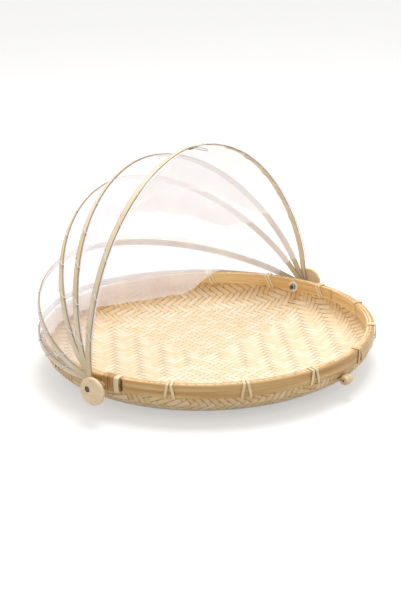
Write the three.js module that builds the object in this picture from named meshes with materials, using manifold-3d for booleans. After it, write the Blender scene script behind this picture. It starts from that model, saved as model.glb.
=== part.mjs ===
// Round bamboo food basket: a shallow woven tray under a folding net cover on five hoops.
// Millimetres, +Z up. The origin is the centre of the tray's flat underside, the hinge
// axis of the cover runs along X, and the cover folds back towards +Y.
import * as THREE from 'three';
import { mergeVertices } from 'three/addons/utils/BufferGeometryUtils.js';
import Module from 'manifold-3d';

const wasm = await Module();
wasm.setup();

// Driving dimensions
const rimRadius = 160;
const trayHeight = 38;
const flatRadius = 104;
const wallBelowStrip = 2;
const matThickness = 2.4;
const outerStripWidth = 12;
const outerStripThickness = 2.2;
const innerStripWidth = 11;
const innerStripThickness = 2;
const hingeBelowRim = 7;
const hoopOutsideRim = 4.4;
const hoopCrownExcess = 3.2;
const hoopPitch = 2.9;
const hoopWidth = 5.5;
const hoopThickness = 1.5;
const hoopRoundPower = 1.9;
const hoopShoulderShare = 0.55;
const hoopCrownShare = 0.45;
const seatGap = 0.3;
const cutOverrun = 3;

// Hoops from the rear one to the front one, with their angle above the rear horizontal
const hoopNames = ['rear', 'fourth', 'third', 'second', 'front'];
const hoopAngles = [3, 18.3, 50.8, 66.3, 85.6];
const netTautAngle = 43.5;

// Ends of the rim strips: the outer one's stand apart beside the wraps, the inner one's lap
const outerStripEndGap = 3.2;
const lapLength = 34;
const lapTip = 0.6;
const stripEdgeShare = 0.25;

// Cane bindings
const caneThickness = 0.7;
const slitClearance = 0.25;
const lashingPlaces = 15;
const lashingWidth = 2.6;
const lashingTopGap = 1;
const lashingFootSpread = 8;
const wrapWidth = 5.4;
const wrapGap = 0.6;

// Lacing thread and net
const laceDiameter = 0.5;
const laceGap = 0.1;
const lacePitch = 35;
const laceCrossing = 10.5;
const laceSideRun = 1;
const netThickness = 0.5;
const netStart = 26;
const hemWidth = 1.8;
const hemThickness = 0.8;

// How the slack net between two hoops falls into a fold, deeper on the right than on the left
const foldSlackShare = 0.85;
const foldDepthShare = 0.31;
const foldRoundPower = 1.4;
const foldLeanShare = 0.52;
const droopShare = 0.96;
const droopPower = 4.4;
const foldStart = 55;
const foldEase = 67;

// Pivots
const boltRadius = 1.7;
const boltHeadRadius = 2.7;
const boltHeadHeight = 1.5;
const boltHeadCrownShare = 0.6;
const turningGap = 0.2;
const discRadius = 12.9;
const discThickness = 3.6;
const discBevel = 0.8;
const discOffset = 4.5;
const discRise = 1.6;
const washerRadius = 5.4;
const washerThickness = 1;
const nutAcrossFlats = 6.4;
const nutHeight = 2.6;
const nutSides = 6;
const boltEndPastNut = 1;
const hoopTail = 6;
const hoopTailTipShare = 0.2;
const hoopDrawIn = 1.9;
const hoopDrawInFrom = 10;
const hoopDrawInTo = 40;

// Bead and loop that hold the cover shut
const beadBelowWallBend = 4;
const beadFromMiddle = 11;
const beadRadius = 5;
const beadEndRadius = 3.9;
const beadLength = 10;
const beadBore = 1.2;
const cordDiameter = 0.9;
const cordTieReach = 3;
const cordTieRise = 1.2;
const tabLength = 14;
const tabWidth = 2.2;
const tabThickness = 1.6;
const loopLength = 15;
const loopWidth = 6;

// Smoothness
const traySides = 60;
const trayArcSteps = 6;
const stripSteps = 60;
const lapSteps = 4;
const hoopSteps = 48;
const hoopTailSteps = 3;
const roundSides = 16;
const beadSteps = 8;
const cordSides = 6;
const tabSides = 12;
const tabEndSteps = 3;
const laceSides = 4;
const goreLengthSteps = 24;
const goreWidthSteps = 8;
const hemSteps = 24;
const tableSteps = 720;
const fineTurn = 1e-3;

// Sizes that follow from the ones above
const hingeZ = trayHeight - hingeBelowRim;
const wallRise = trayHeight - outerStripWidth - wallBelowStrip;
const beadHeight = wallRise - beadBelowWallBend;
const hoopHalfSpan = rimRadius + hoopOutsideRim;
const hoopHeight = hoopHalfSpan + hoopCrownExcess;
const outerStripInner = rimRadius - outerStripThickness;
const matOuter = outerStripInner - seatGap;
const matInner = matOuter - matThickness;
const innerStripOuter = matInner - seatGap;
const innerStripInner = innerStripOuter - innerStripThickness;
const boltClear = boltRadius + turningGap;
const discInner = hoopHalfSpan - hoopDrawIn + (hoopNames.length - 1) * hoopPitch
  + hoopThickness / 2 + seatGap;
const discOuter = discInner + discThickness;
const nutReach = caneThickness + washerThickness + nutHeight + 3 * seatGap;
const netEdge = hoopWidth / 2 + laceGap + laceDiameter + seatGap;
const fullTurn = 2 * Math.PI;
const quarterTurn = Math.PI / 2;
const degree = Math.PI / 180;

function finish(color, roughness, metalness = 0) {
  return new THREE.MeshStandardMaterial({ color, roughness, metalness });
}

const finishes = {
  mat: finish(0xe8d2a4, 0.75),
  strip: finish(0xd9b47a, 0.5),
  cane: finish(0xe6cf9f, 0.55),
  hoop: finish(0xcdb88a, 0.5),
  wood: finish(0xdfc396, 0.55),
  net: finish(0xf7f3f6, 0.9),
  thread: finish(0xf4efe6, 0.8),
  cord: finish(0xb99b72, 0.8),
  bolt: finish(0x8f8c88, 0.35, 1),
  washer: finish(0xe9e7e2, 0.45),
};

function addPart(parent, name, geometry, material) {
  const mesh = new THREE.Mesh(geometry, material);
  mesh.name = name;
  parent.add(mesh);
}

// Cuts
function bareGeometry(geometry) {
  const bare = geometry.clone();
  bare.deleteAttribute('normal');
  bare.deleteAttribute('uv');
  return mergeVertices(bare);
}

function toManifold(geometry) {
  const bare = bareGeometry(geometry);
  const vertProperties = new Float32Array(bare.attributes.position.array);
  const triVerts = new Uint32Array(bare.index.array);
  return new wasm.Manifold(new wasm.Mesh({ numProp: 3, vertProperties, triVerts }));
}

function cut(geometry, tools) {
  let solid = toManifold(geometry);
  for (const tool of tools) solid = solid.subtract(toManifold(tool));
  const mesh = solid.getMesh();
  const result = new THREE.BufferGeometry();
  result.setAttribute('position', new THREE.BufferAttribute(mesh.vertProperties, 3));
  result.setIndex(new THREE.BufferAttribute(mesh.triVerts, 1));
  return result;
}

// Solids built from rings of points
function solidFrom(points, triangles) {
  let volume = 0;
  for (const [a, b, c] of triangles) {
    volume += points[a].dot(new THREE.Vector3().crossVectors(points[b], points[c]));
  }
  const geometry = new THREE.BufferGeometry().setFromPoints(points);
  geometry.setIndex(triangles.flatMap(([a, b, c]) => (volume > 0 ? [a, b, c] : [a, c, b])));
  return geometry;
}

// The first and last point of a ring lie side by side, so an end cap is a ladder of quads
// from that pair to the far side.
function endCap(base, count, reversed) {
  const triangles = [];
  for (let k = 0; k < count / 2 - 1; k += 1) {
    const corners = [k, k + 1, count - 2 - k, count - 1 - k].map((point) => base + point);
    if (reversed) corners.reverse();
    const [a, b, c, d] = corners;
    triangles.push([a, b, c], [a, c, d]);
  }
  return triangles;
}

function loft(rings, closed = false) {
  const count = rings[0].length;
  const spans = closed ? rings.length : rings.length - 1;
  const triangles = [];
  for (let r = 0; r < spans; r += 1) {
    const here = r * count;
    const next = ((r + 1) % rings.length) * count;
    for (let k = 0; k < count; k += 1) {
      const step = (k + 1) % count;
      triangles.push([here + k, here + step, next + step], [here + k, next + step, next + k]);
    }
  }
  if (!closed) {
    triangles.push(...endCap(0, count, true));
    triangles.push(...endCap((rings.length - 1) * count, count, false));
  }
  return solidFrom(rings.flat(), triangles);
}

// A tube with mitred corners: each ring is the last one slid along its run onto the plane
// that halves the next corner.
function mitredTube(points, radius, sides) {
  const runs = points.slice(1).map((point, k) => point.clone().sub(points[k]).normalize());
  const leans = Math.abs(runs[0].x) > Math.SQRT1_2;
  const across = new THREE.Vector3(leans ? 0 : 1, leans ? 1 : 0, 0).cross(runs[0]).normalize();
  const up = new THREE.Vector3().crossVectors(runs[0], across);
  let ring = Array.from({ length: sides }, (_, k) => {
    const turn = (2 * k + 1) * Math.PI / sides;
    return points[0].clone()
      .addScaledVector(across, radius * Math.cos(turn))
      .addScaledVector(up, radius * Math.sin(turn));
  });
  const rings = [ring];
  for (let p = 1; p < points.length; p += 1) {
    const run = runs[p - 1];
    const normal = run.clone();
    if (p < runs.length) normal.add(runs[p]).normalize();
    ring = ring.map((vertex) => {
      const slide = points[p].clone().sub(vertex).dot(normal) / run.dot(normal);
      return vertex.clone().addScaledVector(run, slide);
    });
    rings.push(ring);
  }
  return loft(rings);
}

// A solid turned about X from pairs of radius and position
function turned(profile, sides) {
  const outline = profile.map(([radius, along]) => new THREE.Vector2(radius, along));
  return new THREE.LatheGeometry(outline, sides).rotateZ(-quarterTurn);
}

// The hole for a bolt, from inside the nut to outside the disc
function pinHole(side) {
  const inner = innerStripInner - nutReach - cutOverrun;
  const outer = discOuter + cutOverrun;
  const hole = new THREE.CylinderGeometry(boltClear, boltClear, outer - inner, roundSides);
  return hole.rotateZ(quarterTurn).translate(side * (inner + outer) / 2, 0, 0);
}

function rimPinHoles() {
  return [-1, 1].map((side) => pinHole(side).translate(0, 0, hingeZ));
}

// The tray wall curves up as a quarter of an ellipse, then stands straight
function wallPoint(radius, lift, turn) {
  const x = flatRadius + (radius - flatRadius) * Math.sin(turn);
  return new THREE.Vector2(x, lift + (wallRise - lift) * (1 - Math.cos(turn)));
}

function trayProfile() {
  const turns = Array.from({ length: trayArcSteps + 1 }, (_, k) => k / trayArcSteps * quarterTurn);
  return [
    new THREE.Vector2(0, 0),
    ...turns.map((turn) => wallPoint(matOuter, 0, turn)),
    new THREE.Vector2(matOuter, trayHeight),
    new THREE.Vector2(matInner, trayHeight),
    ...turns.reverse().map((turn) => wallPoint(matInner, matThickness, turn)),
    new THREE.Vector2(0, matThickness),
  ];
}

// The bead hangs a little to the left of the front
const beadTurn = -beadFromMiddle / rimRadius;

// A place beside the wall at the bead: along the rim, out of the wall, and up the wall
function besideWall(along, out, up) {
  const turn = Math.acos(1 - beadHeight / wallRise);
  const foot = wallPoint(matOuter, 0, turn);
  const slope = new THREE.Vector2((matOuter - flatRadius) * Math.cos(turn), wallRise * Math.sin(turn));
  slope.normalize();
  const radius = foot.x + slope.y * out + slope.x * up;
  const place = new THREE.Vector3(along, -radius, foot.y - slope.x * out + slope.y * up);
  return place.applyAxisAngle(new THREE.Vector3(0, 0, 1), beadTurn);
}

// Where cane runs around the rim, as a rectangle in radius and height
const caneClear = seatGap + caneThickness / 2;
const caneTrack = {
  inner: innerStripInner - caneClear,
  outer: rimRadius + caneClear,
  top: trayHeight + caneClear,
  foot: trayHeight - outerStripWidth - caneClear,
};

// Places along the rim: three wraps in front of the left bolt, lashings all round
const firstWrap = boltRadius + wrapGap + wrapWidth / 2;
const wrapOffsets = [0, 1, 2].map((place) => firstWrap + place * (wrapWidth + wrapGap));

function lashingAngle(place) {
  return Math.PI + place * fullTurn / lashingPlaces;
}

function caneSlit(angle, offset, width) {
  const radial = matThickness + 2 * cutOverrun;
  const tool = new THREE.BoxGeometry(radial, width + 2 * slitClearance, caneThickness + 2 * slitClearance);
  tool.translate((matInner + matOuter) / 2, 0, caneTrack.foot);
  return tool.rotateZ(angle + offset / rimRadius);
}

const cordHoleOffset = beadLength / 2 + seatGap + cordDiameter;

function cordHole(side) {
  const radius = cordDiameter / 2 + turningGap;
  const hole = new THREE.CylinderGeometry(radius, radius, matThickness + 2 * cutOverrun, cordSides);
  const from = besideWall(side * cordHoleOffset, -matThickness, 0);
  const to = besideWall(side * cordHoleOffset, 0, 0);
  hole.rotateX(quarterTurn).lookAt(to.clone().sub(from));
  return hole.translate((from.x + to.x) / 2, (from.y + to.y) / 2, (from.z + to.z) / 2);
}

function buildTray(parent) {
  const shell = new THREE.LatheGeometry(trayProfile(), traySides).rotateX(quarterTurn);
  const tools = [cordHole(-1), cordHole(1), ...rimPinHoles()];
  for (let place = 1; place < lashingPlaces; place += 1) {
    for (const side of [-1, 1]) {
      tools.push(caneSlit(lashingAngle(place), side * lashingFootSpread / 2, lashingWidth));
    }
  }
  for (const offset of wrapOffsets) tools.push(caneSlit(Math.PI, offset, wrapWidth));
  addPart(parent, 'woven_tray', cut(shell, tools), finishes.mat);
}

// A rim strip's section, with the edges of its outer face taken off
function stripSection(innerFace, outerFace, foot, angle) {
  const edge = (outerFace - innerFace) * stripEdgeShare;
  const at = (radius, z) =>
    new THREE.Vector3(radius * Math.cos(angle), radius * Math.sin(angle), z);
  return [
    at(innerFace, foot), at(outerFace - edge, foot), at(outerFace, foot + edge),
    at(outerFace, trayHeight - edge), at(outerFace - edge, trayHeight), at(innerFace, trayHeight),
  ];
}

// The inner strip: bent into a ring, with its two ends thinned and lapped over each other
function lappedRing(inner, thickness, width, lapEnd) {
  const lapTurn = lapLength / rimRadius;
  const ramp = thickness - 2 * lapTip - seatGap;
  const lapTurns = Array.from({ length: lapSteps + 1 }, (_, k) => k / lapSteps * lapTurn);
  const plainTurns = Array.from({ length: stripSteps - 1 }, (_, k) =>
    lapTurn + (k + 1) / stripSteps * (fullTurn - lapTurn));
  const turns = [...lapTurns, ...plainTurns, ...lapTurns.map((turn) => fullTurn + turn)];
  const foot = trayHeight - width;
  return loft(turns.map((turn) => {
    const under = turn <= lapTurn;
    const over = turn >= fullTurn;
    const outerFace = inner + (under ? lapTip + ramp * turn / lapTurn : thickness);
    const innerFace = inner + (over ? lapTip + seatGap + ramp * (turn - fullTurn) / lapTurn : 0);
    return stripSection(innerFace, outerFace, foot, lapEnd - lapTurn + turn);
  }));
}

// The outer strip: bent into a ring that stays open beside the wraps
function openRing(inner, thickness, width, from) {
  const span = fullTurn - outerStripEndGap / rimRadius;
  return loft(Array.from({ length: stripSteps + 1 }, (_, k) =>
    stripSection(inner, inner + thickness, trayHeight - width, from + k / stripSteps * span)));
}

function buildRimStrips(parent) {
  const wrapEnd = (Math.max(...wrapOffsets) + wrapWidth / 2 + seatGap) / rimRadius;
  const outerStart = Math.PI + wrapEnd + outerStripEndGap / rimRadius;
  const outer = openRing(outerStripInner, outerStripThickness, outerStripWidth, outerStart);
  const inner = lappedRing(innerStripInner, innerStripThickness, innerStripWidth, -wrapEnd);
  addPart(parent, 'outer_rim_strip', cut(outer, rimPinHoles()), finishes.strip);
  addPart(parent, 'inner_rim_strip', cut(inner, rimPinHoles()), finishes.strip);
}

// Cane bindings: a section of the flat cane at a corner of its track
const caneCorners = {
  innerFoot: [caneTrack.inner, caneTrack.foot, -1, -1],
  innerTop: [caneTrack.inner, caneTrack.top, -1, 1],
  outerTop: [caneTrack.outer, caneTrack.top, 1, 1],
  outerFoot: [caneTrack.outer, caneTrack.foot, 1, -1],
};

function caneSection(corner, angle, offset, width) {
  const [radius, z, outward, upward] = caneCorners[corner];
  const half = caneThickness / 2;
  return [[-1, -half], [1, -half], [1, half], [-1, half]].map(([side, depth]) => {
    const at = new THREE.Vector3(radius + outward * depth, side * width / 2, z + upward * depth);
    return at.applyAxisAngle(new THREE.Vector3(0, 0, 1), angle + offset / rimRadius);
  });
}

function spliceWrap(offset) {
  const corners = Object.keys(caneCorners);
  return loft(corners.map((corner) => caneSection(corner, Math.PI, offset, wrapWidth)), true);
}

// One length of cane wound twice: the strands lie close on top and spread at the foot
function lashing(angle) {
  const top = (lashingWidth + lashingTopGap) / 2;
  const foot = lashingFootSpread / 2;
  const tail = foot + lashingWidth + lashingTopGap;
  const stops = [
    ['innerFoot', -tail], ['innerTop', -top], ['outerTop', -top], ['outerFoot', -foot],
    ['innerFoot', -foot], ['innerTop', top], ['outerTop', top], ['outerFoot', foot],
    ['innerFoot', foot],
  ];
  return loft(stops.map(([corner, offset]) => caneSection(corner, angle, offset, lashingWidth)));
}

function buildBindings(parent) {
  for (let place = 1; place < lashingPlaces; place += 1) {
    const label = String(place).padStart(2, '0');
    addPart(parent, `cane_lashing_${label}`, lashing(lashingAngle(place)), finishes.cane);
  }
  wrapOffsets.forEach((offset, k) => {
    addPart(parent, `splice_wrap_${k + 1}`, spliceWrap(offset), finishes.cane);
  });
}

// Bead at the front, tied on with a cord through its bore and the tray wall
function buildBead(parent) {
  const profile = [[beadBore, -beadLength / 2]];
  for (let k = 0; k <= beadSteps; k += 1) {
    const share = k / beadSteps;
    const swell = (beadRadius - beadEndRadius) * Math.sin(Math.PI * share);
    profile.push([beadEndRadius + swell, share * beadLength - beadLength / 2]);
  }
  profile.push([beadBore, beadLength / 2], [beadBore, -beadLength / 2]);
  const out = seatGap + beadRadius;
  const centre = besideWall(0, out, 0);
  const bead = turned(profile, roundSides).rotateZ(beadTurn).translate(centre.x, centre.y, centre.z);
  addPart(parent, 'toggle_bead', bareGeometry(bead), finishes.wood);
  const inside = -(matThickness + 2 * seatGap + cordDiameter / 2);
  const route = [
    besideWall(-cordTieReach, inside, cordTieRise),
    besideWall(cordHoleOffset, inside, 0),
    besideWall(cordHoleOffset, out, 0),
    besideWall(-cordHoleOffset, out, 0),
    besideWall(-cordHoleOffset, inside, 0),
    besideWall(cordTieReach, inside, -cordTieRise),
  ];
  addPart(parent, 'bead_cord', mitredTube(route, cordDiameter / 2, cordSides), finishes.cord);
}

// Hoops. In a hoop's own plane x runs across the tray and y from the hinge to the crown;
// z runs across the strip, towards the front of the basket.
function hoopPoint(index, turn) {
  const power = 2 / hoopRoundPower;
  const cosine = Math.cos(turn);
  const rise = (hoopHeight + index * hoopPitch) * Math.pow(Math.max(Math.sin(turn), 0), power);
  const span = (hoopHalfSpan + index * hoopPitch) * Math.pow(Math.abs(cosine), power);
  const drawIn = hoopDrawIn * (1 - THREE.MathUtils.smoothstep(rise, hoopDrawInFrom, hoopDrawInTo));
  return new THREE.Vector2(Math.sign(cosine) * (span - drawIn), rise);
}

function hoopNormal(index, turn) {
  const from = hoopPoint(index, Math.max(turn - fineTurn, 0));
  const to = hoopPoint(index, Math.min(turn + fineTurn, Math.PI));
  const along = to.sub(from).normalize();
  return new THREE.Vector2(along.y, -along.x);
}

function besideHoop(index, turn, outward, forward) {
  const place = hoopPoint(index, turn).addScaledVector(hoopNormal(index, turn), outward);
  return new THREE.Vector3(place.x, place.y, forward);
}

// Lengths along the middle line of a hoop, and the turn at a given length
function lengthTable(index) {
  const table = [{ turn: 0, length: 0 }];
  for (let k = 1; k <= tableSteps; k += 1) {
    const last = table[k - 1];
    const turn = k / tableSteps * Math.PI;
    const step = hoopPoint(index, turn).distanceTo(hoopPoint(index, last.turn));
    table.push({ turn, length: last.length + step });
  }
  return table;
}

function turnAt(table, length) {
  const found = table.findIndex((row) => row.length >= length);
  const after = Math.min(Math.max(found, 1), table.length - 1);
  const from = table[after - 1];
  const to = table[after];
  return from.turn + (to.turn - from.turn) * (length - from.length) / (to.length - from.length);
}

// The strip's section: flat inside, with the edges of the outer face rounded off
function hoopSection(place, halfWidth) {
  const half = hoopThickness / 2;
  const crown = halfWidth * hoopCrownShare;
  return [
    place(-half, -halfWidth), place(-half, halfWidth), place(half * hoopShoulderShare, halfWidth),
    place(half, crown), place(half, -crown), place(half * hoopShoulderShare, -halfWidth),
  ];
}

function hoopTailSection(index, side, share) {
  const end = hoopPoint(index, side > 0 ? 0 : Math.PI);
  const narrowing = Math.max(Math.sqrt(1 - share * share), hoopTailTipShare);
  const place = (outward, forward) =>
    new THREE.Vector3(end.x + side * outward, -hoopTail * share, forward);
  return hoopSection(place, hoopWidth / 2 * narrowing);
}

function hoopStrip(index) {
  const rings = [];
  for (let k = hoopTailSteps; k > 0; k -= 1) {
    rings.push(hoopTailSection(index, 1, k / hoopTailSteps));
  }
  for (let k = 0; k <= hoopSteps; k += 1) {
    const turn = k / hoopSteps * Math.PI;
    const place = (outward, forward) => besideHoop(index, turn, outward, forward);
    rings.push(hoopSection(place, hoopWidth / 2));
  }
  for (let k = 1; k <= hoopTailSteps; k += 1) {
    rings.push(hoopTailSection(index, -1, k / hoopTailSteps));
  }
  return cut(loft(rings), [pinHole(-1), pinHole(1)]);
}

// Lacing: one thread wound around the hoop, short and slanting over the outer face and long
// over the inner face
function laceRoute(index) {
  const table = lengthTable(index);
  const total = table[tableSteps].length;
  const wraps = Math.floor((total - 2 * netStart) / lacePitch);
  const edge = hoopWidth / 2 + laceGap + laceDiameter / 2;
  const face = hoopThickness / 2 + laceGap + laceDiameter / 2;
  const half = laceCrossing / 2;
  const at = (length, outward, forward) => besideHoop(index, turnAt(table, length), outward, forward);
  const points = [];
  for (let k = 0; k < wraps; k += 1) {
    const middle = total / 2 + (k - (wraps - 1) / 2) * lacePitch;
    points.push(at(middle - half - laceSideRun, -face, -edge), at(middle - half, face, -edge));
    points.push(at(middle + half, face, edge), at(middle + half + laceSideRun, -face, edge));
    if (k < wraps - 1) points.push(at(middle + lacePitch / 2, -face, 0));
  }
  return points;
}

// Least gap between stretches of a thread that do not follow on from one another
const skippedRuns = 3;

function leastSelfGap(points) {
  const run = new THREE.Line3();
  const nearest = new THREE.Vector3();
  let least = Infinity;
  points.forEach((point, a) => {
    for (let b = 0; b < points.length - 1; b += 1) {
      if (b >= a - skippedRuns && b < a + skippedRuns) continue;
      run.set(points[b], points[b + 1]).closestPointToPoint(point, true, nearest);
      least = Math.min(least, nearest.distanceTo(point) - laceDiameter);
    }
  });
  return least;
}

// Net: a gore between each pair of neighbouring hoops, folded inwards where they stand close
function openFrom(index) {
  const spread = (hoopAngles[index + 1] - hoopAngles[index]) * degree;
  const reach = Math.max((netEdge + netThickness) / Math.tan(spread / 2), netStart);
  let turn = 0;
  while (hoopPoint(index, turn).y < reach) turn += fineTurn;
  return turn;
}

function swung(local, angle) {
  return local.clone().applyAxisAngle(new THREE.Vector3(1, 0, 0), angle);
}

function gorePoint(index, turn, share) {
  const rearAngle = hoopAngles[index] * degree;
  const frontAngle = hoopAngles[index + 1] * degree;
  const middle = (rearAngle + frontAngle) / 2;
  const inset = -hoopThickness / 2;
  const rear = swung(besideHoop(index, turn, inset, netEdge), rearAngle);
  const front = swung(besideHoop(index + 1, turn, inset, -netEdge), frontAngle);
  const reach = hoopPoint(index, turn).y;
  const chord = rear.distanceTo(front);
  const cloth = foldSlackShare * (reach * netTautAngle * degree - 2 * netEdge);
  const ease = THREE.MathUtils.smoothstep(reach, foldStart, foldStart + foldEase);
  const lean = 1 + foldLeanShare * Math.cos(turn);
  const depth = foldDepthShare * ease * lean * Math.sqrt(Math.max(cloth * cloth - chord * chord, 0));
  const normal = hoopNormal(index, turn);
  const inward = swung(new THREE.Vector3(-normal.x, -normal.y, 0), middle);
  const wave = Math.sin(Math.PI * share);
  const point = rear.lerp(front, share);
  point.addScaledVector(inward, depth * Math.pow(wave, foldRoundPower));
  point.z -= depth * ease * droopShare * Math.cos(middle) * Math.pow(wave, droopPower);
  return point;
}

function goreNormal(index, turn, share) {
  const along = gorePoint(index, turn + fineTurn, share).sub(gorePoint(index, turn - fineTurn, share));
  const across = gorePoint(index, turn, Math.min(share + fineTurn, 1))
    .sub(gorePoint(index, turn, Math.max(share - fineTurn, 0)));
  return along.cross(across).normalize();
}

function buildGore(index) {
  const start = openFrom(index);
  const rings = [];
  for (let r = 0; r <= goreLengthSteps; r += 1) {
    const turn = start + r / goreLengthSteps * (Math.PI - 2 * start);
    const faces = [netThickness / 2, -netThickness / 2].map((out) =>
      Array.from({ length: goreWidthSteps + 1 }, (_, c) => {
        const share = c / goreWidthSteps;
        return gorePoint(index, turn, share).addScaledVector(goreNormal(index, turn, share), out);
      }));
    rings.push([...faces[0], ...faces[1].reverse()]);
  }
  return loft(rings).translate(0, 0, hingeZ);
}

// The net's hem, a folded band along the front edge of the front hoop
function buildHem(index) {
  const table = lengthTable(index);
  const run = table[tableSteps].length - 2 * netStart;
  const half = hemThickness / 2;
  const rings = [];
  for (let k = 0; k <= hemSteps; k += 1) {
    const turn = turnAt(table, netStart + k / hemSteps * run);
    rings.push([
      besideHoop(index, turn, -half, netEdge), besideHoop(index, turn, -half, netEdge + hemWidth),
      besideHoop(index, turn, half, netEdge + hemWidth), besideHoop(index, turn, half, netEdge),
    ]);
  }
  return loft(rings);
}

// A rounded tab and a loop of cord at the crown of the front hoop
function buildLoop(parent, index) {
  const crown = hoopPoint(index, quarterTurn).y;
  const tabRadius = tabWidth / 2;
  const tabStart = netEdge + hemWidth + seatGap;
  const tab = new THREE.CapsuleGeometry(tabRadius, tabLength - tabWidth, tabEndSteps, tabSides);
  tab.rotateZ(quarterTurn).scale(1, tabThickness / tabWidth, 1);
  tab.translate(-tabLength / 2, crown, tabStart + tabRadius);
  addPart(parent, 'loop_tab', bareGeometry(tab), finishes.cord);
  const loopStart = tabStart + tabWidth + seatGap + cordDiameter / 2;
  const rings = [];
  for (let k = 0; k < roundSides; k += 1) {
    const turn = k / roundSides * fullTurn;
    const out = new THREE.Vector3(Math.cos(turn), 0, Math.sin(turn));
    const centre = new THREE.Vector3(-tabLength / 2, crown, loopStart + loopLength / 2);
    centre.add(new THREE.Vector3(out.x * loopWidth / 2, 0, out.z * loopLength / 2));
    rings.push(Array.from({ length: cordSides }, (_, s) => {
      const around = s / cordSides * fullTurn;
      const rise = new THREE.Vector3(0, Math.sin(around) * cordDiameter / 2, 0);
      return rise.addScaledVector(out, Math.cos(around) * cordDiameter / 2).add(centre);
    }));
  }
  addPart(parent, 'closing_loop', loft(rings, true), finishes.cord);
}

function buildCover(parent) {
  hoopNames.forEach((name, index) => {
    const plane = new THREE.Group();
    plane.position.z = hingeZ;
    plane.rotation.x = hoopAngles[index] * degree;
    parent.add(plane);
    addPart(plane, `hoop_${name}`, hoopStrip(index), finishes.hoop);
    const route = laceRoute(index);
    console.log(`lacing_${name}: least gap to itself ${leastSelfGap(route).toFixed(2)} mm`);
    addPart(plane, `lacing_${name}`, mitredTube(route, laceDiameter / 2, laceSides), finishes.thread);
    if (index > 0) addPart(parent, `net_gore_${name}`, buildGore(index - 1), finishes.net);
  });
  const front = hoopNames.length - 1;
  const plane = parent.children.filter((child) => child.isGroup)[front];
  addPart(plane, 'net_front_hem', buildHem(front), finishes.net);
  buildLoop(plane, front);
}

// Pivots: a bolt with its head sunk in a wooden disc outside the hoops, and a washer and
// nut inside the rim
const recessDepth = boltHeadHeight + seatGap;

function pivotDisc() {
  const disc = turned([
    [0, discInner], [discRadius - discBevel, discInner], [discRadius, discInner + discBevel],
    [discRadius, discOuter - discBevel], [discRadius - discBevel, discOuter], [0, discOuter],
  ], 2 * roundSides);
  const recessRadius = boltHeadRadius + turningGap;
  const recess = turned([
    [0, discOuter - recessDepth], [recessRadius, discOuter - recessDepth],
    [recessRadius, discOuter + cutOverrun], [0, discOuter + cutOverrun],
  ], roundSides);
  return cut(disc.translate(0, -discOffset, discRise), [pinHole(1), recess]);
}

function pivotPieces(packing) {
  const washerOuter = innerStripInner - packing - seatGap;
  const nutOuter = washerOuter - washerThickness - seatGap;
  const nutInner = nutOuter - nutHeight;
  const boltEnd = nutInner - boltEndPastNut;
  const headBase = discOuter - recessDepth + turningGap;
  const headCrown = boltHeadRadius * boltHeadCrownShare;
  const nutRadius = nutAcrossFlats / 2 / Math.cos(Math.PI / nutSides);
  const profile = [[0, nutInner], [nutRadius, nutInner], [nutRadius, nutOuter], [0, nutOuter]];
  return {
    bolt: turned([
      [0, boltEnd], [boltRadius, boltEnd], [boltRadius, headBase], [boltHeadRadius, headBase],
      [boltHeadRadius, headBase + boltHeadHeight * boltHeadCrownShare],
      [headCrown, headBase + boltHeadHeight], [0, headBase + boltHeadHeight],
    ], roundSides),
    washer: turned([
      [boltClear, washerOuter - washerThickness], [washerRadius, washerOuter - washerThickness],
      [washerRadius, washerOuter], [boltClear, washerOuter],
      [boltClear, washerOuter - washerThickness],
    ], roundSides),
    nut: cut(turned(profile, nutSides), [pinHole(1)]),
    disc: pivotDisc(),
  };
}

function buildPivot(parent, side, label) {
  const packing = side < 0 ? caneThickness + seatGap : 0;
  const pieces = pivotPieces(packing);
  const materials = { bolt: 'bolt', washer: 'washer', nut: 'bolt', disc: 'wood' };
  for (const [piece, material] of Object.entries(materials)) {
    const geometry = bareGeometry(pieces[piece]);
    if (side < 0) geometry.rotateY(Math.PI);
    geometry.translate(0, 0, hingeZ);
    addPart(parent, `pivot_${piece}_${label}`, geometry, finishes[material]);
  }
}

const basket = new THREE.Group();
buildTray(basket);
buildRimStrips(basket);
buildBindings(basket);
buildBead(basket);
buildCover(basket);
buildPivot(basket, -1, 'left');
buildPivot(basket, 1, 'right');

export default basket;
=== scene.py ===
"""Looks of the round bamboo food basket, in metres, in the frame that its solids share."""

import math
from functools import partial

import bpy
from mathutils import Matrix, Vector


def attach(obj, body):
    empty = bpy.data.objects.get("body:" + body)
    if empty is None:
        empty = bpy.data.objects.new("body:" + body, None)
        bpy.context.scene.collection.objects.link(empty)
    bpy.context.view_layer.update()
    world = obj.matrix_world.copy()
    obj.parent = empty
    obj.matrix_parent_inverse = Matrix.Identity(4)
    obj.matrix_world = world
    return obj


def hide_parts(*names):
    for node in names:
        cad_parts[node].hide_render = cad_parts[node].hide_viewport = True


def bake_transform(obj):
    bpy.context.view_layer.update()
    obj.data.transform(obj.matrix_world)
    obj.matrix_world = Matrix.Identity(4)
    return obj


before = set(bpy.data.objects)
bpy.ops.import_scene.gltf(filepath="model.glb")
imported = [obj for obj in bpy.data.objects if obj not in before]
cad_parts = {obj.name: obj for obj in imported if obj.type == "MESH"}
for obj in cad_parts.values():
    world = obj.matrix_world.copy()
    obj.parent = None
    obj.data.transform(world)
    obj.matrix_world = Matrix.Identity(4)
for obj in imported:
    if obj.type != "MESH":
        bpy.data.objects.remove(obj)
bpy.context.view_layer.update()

# Sizes shared with the solids
mm = 0.001
RIM_RADIUS = 160 * mm
TRAY_HEIGHT = 38 * mm
FLAT_RADIUS = 104 * mm
WALL_RISE = 24 * mm
MAT_THICKNESS = 2.4 * mm
OUTER_STRIP_WIDTH = 12 * mm
OUTER_STRIP_THICKNESS = 2.2 * mm
INNER_STRIP_THICKNESS = 2 * mm
SEAT_GAP = 0.3 * mm
HINGE_HEIGHT = TRAY_HEIGHT - 7 * mm
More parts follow.
